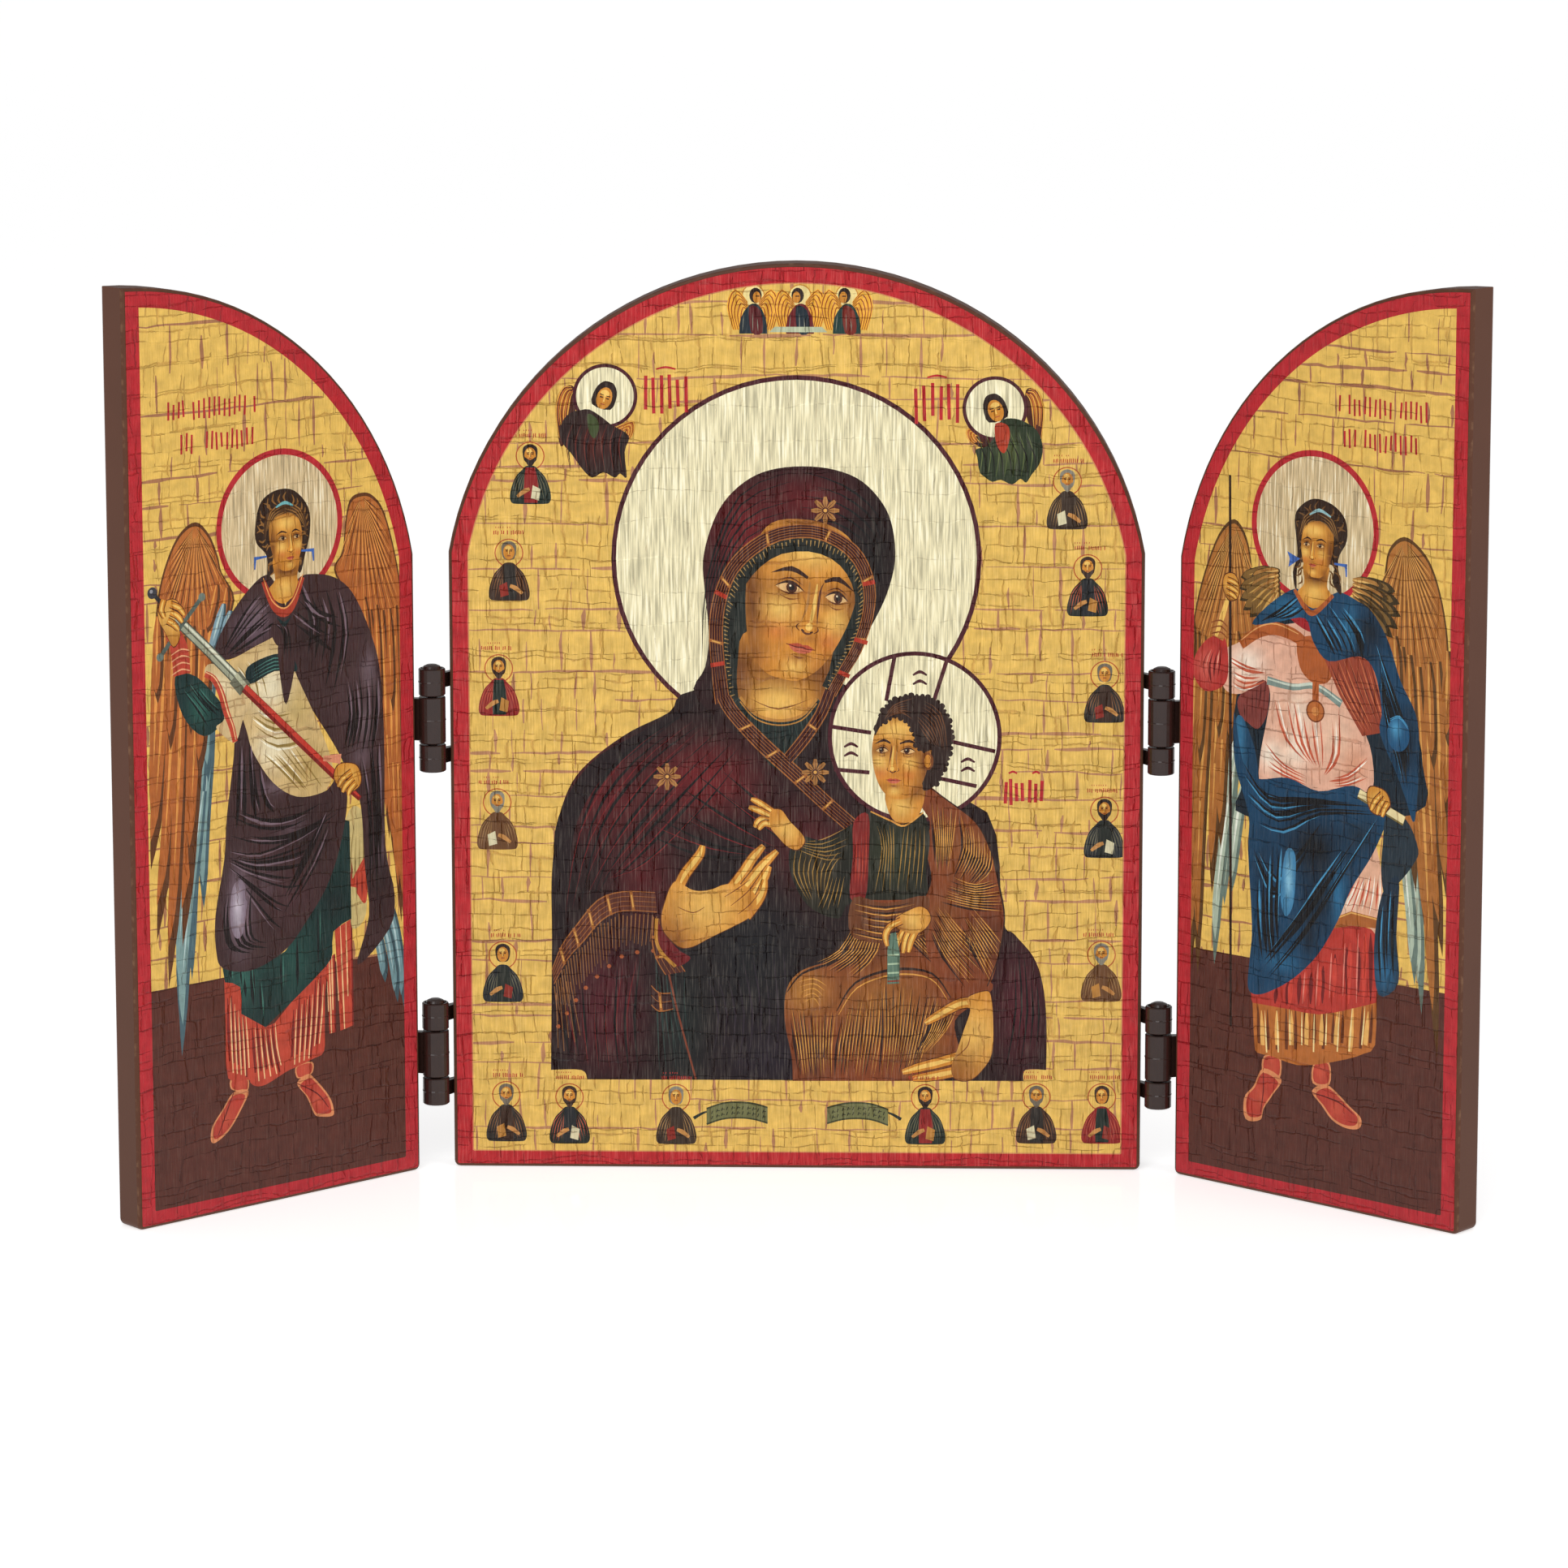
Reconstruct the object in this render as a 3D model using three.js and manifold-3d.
// Folding triptych icon: an arched centre board with two half-arch leaves, each hung on two barrel hinges.
// Millimetres, +Z up. The origin is the middle of the centre board's underside. The painted faces look
// towards -Y, and the leaves stand swung forward, open.
import * as THREE from "three";
import { mergeVertices } from "three/addons/utils/BufferGeometryUtils.js";
import Module from "manifold-3d";

const wasm = await Module();
wasm.setup();

// Boards
const boardWidth = 180;
const boardHeight = 238.5;
const boardThickness = 9;
const archMargin = 1.5; // the arch's radius is this much over half the board's width, so the sides meet it at a kink
const arris = 0.8; // rounding along every edge of a board's two faces
const cornerRadius = 1.6; // rounding of a board's two lower corners
const leafMeetingGap = 1.2; // between the two leaves when they are shut

// Hinges
const knuckleRadius = 3.5;
const endKnuckleLength = 7.1;
const middleKnuckleLength = 12.2;
const knuckleGap = 0.35; // between two knuckles on one pin
const knuckleChamfer = 0.25;
const partingBeadHeight = 0.12; // the raised line that the mould leaves round each knuckle
const partingBeadWidth = 0.5;
const edgeClearance = 1; // between a knuckle and the edges of the boards
const axisInFront = 1.2; // how far the pins' axis stands in front of the painted faces
const lowerHingeHeight = 31; // middle of a hinge above the underside
const upperHingeHeight = 119.7;
const pinRadius = 1.2;
const pinHeadRadius = 2.5;
const pinHeadSeat = 0.9; // how deep the pin's head sits in the top knuckle
const pinHeadDome = 1.1; // how far the head's dome rises over the knuckle
const pinEndInset = 0.6; // between the pin's lower end and the lowest knuckle's end
const tongueThickness = 2.6;
const tongueDepth = 8; // how far a hinge's tongue reaches into its board
const tongueRecess = 0.25; // between a board's edge and the root of the tongue
const endNeckHeight = 3.8; // the neck between an end knuckle and the tongue
const middleNeckHeight = 11;
const neckRootSide = 20; // degrees from the board's side, where the neck's front leaves the knuckle
const neckRootBack = 85; // degrees, where the neck's back leaves the knuckle
const fitClearance = 0.3; // round a tongue in its slot, and round a pin and its head
const cutOverrun = 1; // how far a cut runs out past the surface that it opens

// Leaves, in degrees forward from lying flat beside the centre board
const leftLeafOpening = 43;
const rightLeafOpening = 40;

// Facets
const archSteps = 56;
const cornerSteps = 4;
const arrisSteps = 2;
const roundSides = 24;
const domeSteps = 3;

const archRadius = boardWidth / 2 + archMargin;
const archCentre = boardHeight - archRadius;
const leafWidth = (boardWidth - leafMeetingGap) / 2;
const edgeToAxis = knuckleRadius + edgeClearance;
const hingeAxisX = boardWidth / 2 + edgeToAxis;
const hingeAxisY = -boardThickness / 2 - axisInFront;
const hingeLength = 2 * endKnuckleLength + middleKnuckleLength + 2 * knuckleGap;
const middleKnuckleFoot = endKnuckleLength + knuckleGap; // heights on a hinge are from its lowest knuckle's foot
const topKnuckleFoot = middleKnuckleFoot + middleKnuckleLength + knuckleGap;
const endNeckLift = (endKnuckleLength - endNeckHeight) / 2; // from a knuckle's foot to its neck
const middleNeckFoot = middleKnuckleFoot + (middleKnuckleLength - middleNeckHeight) / 2;
const boreRadius = pinRadius + fitClearance;
const tongueBehindAxis = axisInFront + boardThickness / 2; // the tongue lies in the middle of its board

const painted = new THREE.MeshStandardMaterial({ color: "#4d2a20", roughness: 0.5, metalness: 0 });
const plastic = new THREE.MeshStandardMaterial({ color: "#3a2620", roughness: 0.42, metalness: 0 });

function solidOf(geometry) {
  const bare = geometry.clone();
  bare.deleteAttribute("normal");
  bare.deleteAttribute("uv");
  const merged = mergeVertices(bare, 1e-4);
  const triVerts = new Uint32Array(merged.index.array);
  const mesh = new wasm.Mesh({ numProp: 3, vertProperties: merged.attributes.position.array, triVerts });
  return new wasm.Manifold(mesh);
}

function geometryOf(solid) {
  const mesh = solid.getMesh();
  const indexed = new THREE.BufferGeometry();
  indexed.setAttribute("position", new THREE.BufferAttribute(mesh.vertProperties, 3));
  indexed.setIndex(new THREE.BufferAttribute(mesh.triVerts, 1));
  const geometry = indexed.toNonIndexed();
  geometry.computeVertexNormals();
  return geometry;
}

function arc(centreX, centreY, radius, from, to, steps) {
  return Array.from({ length: steps + 1 }, (_, i) => {
    const angle = from + ((to - from) * i) / steps;
    return new THREE.Vector2(centreX + radius * Math.cos(angle), centreY + radius * Math.sin(angle));
  });
}

// A board's outline from x = left to x = right, standing on y = 0 under the arch's circle about x = middle.
function boardOutline(left, right, middle) {
  const angleOver = (x) => Math.acos((x - middle) / archRadius);
  const topFrom = angleOver(right);
  const topTo = angleOver(left);
  const steps = Math.max(cornerSteps, Math.round((archSteps * (topTo - topFrom)) / Math.PI));
  return [
    ...arc(left + cornerRadius, cornerRadius, cornerRadius, Math.PI, 1.5 * Math.PI, cornerSteps),
    ...arc(right - cornerRadius, cornerRadius, cornerRadius, -0.5 * Math.PI, 0, cornerSteps),
    ...arc(middle, archCentre, archRadius, topFrom, topTo, steps),
  ];
}

// A board standing in XZ from an outline, its painted face at y = front.
function board(outline, front) {
  const geometry = new THREE.ExtrudeGeometry(new THREE.Shape(outline), {
    depth: boardThickness - 2 * arris,
    bevelEnabled: true,
    bevelThickness: arris,
    bevelSize: arris,
    bevelOffset: -arris,
    bevelSegments: arrisSteps,
  });
  geometry.rotateX(Math.PI / 2);
  geometry.translate(0, front + boardThickness - arris, 0);
  return solidOf(geometry);
}

function boxBetween(low, high) {
  const size = high.map((value, i) => value - low[i]);
  const geometry = new THREE.BoxGeometry(...size);
  geometry.translate(...low.map((value, i) => value + size[i] / 2));
  return solidOf(geometry);
}

function roundSolid(profile, height) {
  const points = profile.map(([radius, z]) => new THREE.Vector2(radius, z));
  const geometry = new THREE.LatheGeometry(points, roundSides);
  geometry.rotateX(Math.PI / 2);
  geometry.translate(0, 0, height);
  return solidOf(geometry);
}

// One knuckle standing on z = 0, with the mould's bead round its middle.
function knuckle(length) {
  const middle = length / 2;
  const profile = [
    [boreRadius, 0],
    [knuckleRadius - knuckleChamfer, 0],
    [knuckleRadius, knuckleChamfer],
    [knuckleRadius, middle - partingBeadWidth / 2],
    [knuckleRadius + partingBeadHeight, middle],
    [knuckleRadius, middle + partingBeadWidth / 2],
    [knuckleRadius, length - knuckleChamfer],
    [knuckleRadius - knuckleChamfer, length],
    [boreRadius, length],
    [boreRadius, 0],
  ];
  return roundSolid(profile, 0);
}

// The neck that carries a knuckle, sloping back from it to the tongue in the middle of the board.
function neck(towards, zLow, height) {
  const wall = (boreRadius + knuckleRadius) / 2;
  const onWall = (degrees) => {
    const angle = THREE.MathUtils.degToRad(degrees);
    return [wall * Math.cos(angle), wall * Math.sin(angle)];
  };
  const end = edgeToAxis + 2 * tongueRecess;
  const corners = [
    onWall(neckRootSide),
    [edgeToAxis, tongueBehindAxis - tongueThickness / 2],
    [end, tongueBehindAxis - tongueThickness / 2],
    [end, tongueBehindAxis + tongueThickness / 2],
    [edgeToAxis, tongueBehindAxis + tongueThickness / 2],
    onWall(neckRootBack),
  ].map(([x, y]) => new THREE.Vector2(towards * x, y));
  const geometry = new THREE.ExtrudeGeometry(new THREE.Shape(corners), { depth: height, bevelEnabled: false });
  geometry.translate(0, 0, zLow);
  return solidOf(geometry);
}

// A flat block in the middle of the board's thickness, from near to far from the hinge axis.
function flatBlock(towards, near, far, zLow, zHigh, clearance) {
  const half = tongueThickness / 2 + clearance;
  const ends = [towards * near, towards * far].sort((a, b) => a - b);
  const low = [ends[0], tongueBehindAxis - half, zLow - clearance];
  const high = [ends[1], tongueBehindAxis + half, zHigh + clearance];
  return boxBetween(low, high);
}

function tongue(towards, zLow, zHigh) {
  return flatBlock(towards, edgeToAxis + tongueRecess, edgeToAxis + tongueDepth, zLow, zHigh, 0);
}

// The slot that a tongue stands in, as a solid to cut away.
function slot(towards, zLow, zHigh) {
  const far = edgeToAxis + tongueDepth + fitClearance;
  return flatBlock(towards, edgeToAxis - cutOverrun, far, zLow, zHigh, fitClearance);
}

// The half with the two end knuckles, which is let into the centre board. Its foot is at z = 0.
function frameHalf(towards) {
  let solid = tongue(towards, endNeckLift, hingeLength - endNeckLift);
  for (const foot of [0, topKnuckleFoot]) {
    solid = solid.add(knuckle(endKnuckleLength).translate([0, 0, foot]));
    solid = solid.add(neck(towards, foot + endNeckLift, endNeckHeight));
  }
  const seatRadius = pinHeadRadius + fitClearance;
  const seat = [
    [0, 0],
    [seatRadius, 0],
    [seatRadius, pinHeadSeat + cutOverrun],
    [0, pinHeadSeat + cutOverrun],
  ];
  return solid.subtract(roundSolid(seat, hingeLength - pinHeadSeat));
}

// The half with the middle knuckle, which is let into a leaf.
function leafHalf(towards) {
  return knuckle(middleKnuckleLength)
    .translate([0, 0, middleKnuckleFoot])
    .add(neck(towards, middleNeckFoot, middleNeckHeight))
    .add(tongue(towards, middleNeckFoot, middleNeckFoot + middleNeckHeight));
}

// A pin with a domed head that sits in the top knuckle.
function pin() {
  const headFoot = hingeLength - pinHeadSeat + fitClearance;
  const dome = Array.from({ length: domeSteps }, (_, i) => {
    const angle = (Math.PI / 2) * (i / domeSteps);
    return [pinHeadRadius * Math.cos(angle), hingeLength + pinHeadDome * Math.sin(angle)];
  });
  const profile = [
    [0, pinEndInset],
    [pinRadius, pinEndInset],
    [pinRadius, headFoot],
    [pinHeadRadius, headFoot],
    ...dome,
    [0, hingeLength + pinHeadDome],
  ];
  return roundSolid(profile, 0);
}

function node(name, solid, material) {
  const mesh = new THREE.Mesh(geometryOf(solid), material);
  mesh.name = name;
  return mesh;
}

const hingeFeet = {
  lower: lowerHingeHeight - hingeLength / 2,
  upper: upperHingeHeight - hingeLength / 2,
};

// A leaf in its hinge's own frame: the pins' axis is the Z axis, and the leaf lies flat beside the centre board.
function leafBoard(side) {
  const inner = edgeToAxis;
  const outer = edgeToAxis + leafWidth;
  const middle = edgeToAxis + boardWidth / 2; // where the centre board's own middle lies when the leaf is shut
  const ends = [side * inner, side * outer].sort((a, b) => a - b);
  let solid = board(boardOutline(ends[0], ends[1], side * middle), axisInFront);
  for (const foot of Object.values(hingeFeet)) {
    const cut = slot(side, middleNeckFoot, middleNeckFoot + middleNeckHeight);
    solid = solid.subtract(cut.translate([0, 0, foot]));
  }
  return solid;
}

function centreBoard() {
  const half = boardWidth / 2;
  let solid = board(boardOutline(-half, half, 0), -boardThickness / 2);
  for (const side of [-1, 1]) {
    for (const foot of Object.values(hingeFeet)) {
      const cut = slot(-side, endNeckLift, hingeLength - endNeckLift);
      solid = solid.subtract(cut.translate([side * hingeAxisX, hingeAxisY, foot]));
    }
  }
  return solid;
}

const triptych = new THREE.Group();
triptych.add(node("centre_board", centreBoard(), painted));

for (const [sideName, side, opening] of [
  ["left", -1, leftLeafOpening],
  ["right", 1, rightLeafOpening],
]) {
  const axis = new THREE.Group();
  axis.position.set(side * hingeAxisX, hingeAxisY, 0);
  const leaf = new THREE.Group();
  leaf.rotation.z = THREE.MathUtils.degToRad(-side * opening);
  leaf.add(node(`${sideName}_leaf_board`, leafBoard(side), painted));
  for (const [level, foot] of Object.entries(hingeFeet)) {
    const name = `${sideName}_${level}_hinge`;
    const fixedHalf = node(`${name}_frame_half`, frameHalf(-side), plastic);
    const movingHalf = node(`${name}_leaf_half`, leafHalf(side), plastic);
    const hingePin = node(`${name}_pin`, pin(), plastic);
    for (const piece of [fixedHalf, movingHalf, hingePin]) piece.position.z = foot;
    axis.add(fixedHalf, hingePin);
    leaf.add(movingHalf);
  }
  axis.add(leaf);
  triptych.add(axis);
}

export default triptych;
